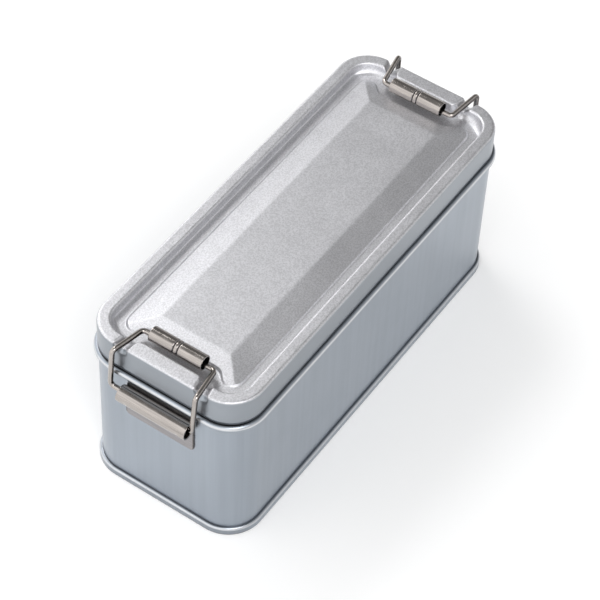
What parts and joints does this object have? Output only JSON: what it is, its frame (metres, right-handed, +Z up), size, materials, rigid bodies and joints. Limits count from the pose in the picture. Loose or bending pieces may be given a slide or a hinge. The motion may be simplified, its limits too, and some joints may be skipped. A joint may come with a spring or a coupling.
{
  "type": "pencil tin",
  "caption": "Long rounded tinplate box with a raised-panel lift-off lid held by a wire bail clasp with a rolled grip on each short end.",
  "frame": {"origin": "centre of the tin on the surface that it stands on", "axes": "+X along the length, +Y across the width, +Z up"},
  "size_m": [0.1584, 0.06, 0.0679],
  "materials": {
    "tinplate_wall": "smooth satin, faint streaks along the drawing direction",
    "tinplate_lid": "fine grained satin silver",
    "clasp_steel": "bright nickel plate"
  },
  "bodies": {
    "tin": {"body_wall": "tinplate_wall", "bottom_panel": "tinplate_wall", "left_hinge_plate": "clasp_steel", "right_hinge_plate": "clasp_steel"},
    "lid": {"lid": "tinplate_lid"},
    "left_clasp": {"left_bail": "clasp_steel"},
    "right_clasp": {"right_bail": "clasp_steel"},
    "left_grip": {"left_roller": "clasp_steel"},
    "right_grip": {"right_roller": "clasp_steel"}
  },
  "joints": [
    {"name": "lid_lift", "type": "slide", "parent": "tin", "child": "lid", "axis": [0, 0, 1], "range_m": [0, 0.0066]},
    {"name": "left_clasp_swing", "type": "hinge", "parent": "tin", "child": "left_clasp", "pos_m": [-0.07642, 0, 0.04875], "axis": [0, -1, 0], "range_deg": [0, 184]},
    {"name": "right_clasp_swing", "type": "hinge", "parent": "tin", "child": "right_clasp", "pos_m": [0.07642, 0, 0.04875], "axis": [0, 1, 0], "range_deg": [0, 184]},
    {"name": "left_roller_spin", "type": "hinge", "parent": "left_clasp", "child": "left_grip", "pos_m": [-0.0643, 0, 0.0654], "axis": [0, -1, 0], "continuous": true},
    {"name": "right_roller_spin", "type": "hinge", "parent": "right_clasp", "child": "right_grip", "pos_m": [0.0643, 0, 0.0654], "axis": [0, 1, 0], "continuous": true}
  ],
  "couplings": [
    {"joint": "left_clasp_swing", "follows": "lid_lift", "rad_per_m": 486.58},
    {"joint": "right_clasp_swing", "follows": "lid_lift", "rad_per_m": 486.58}
  ]
}
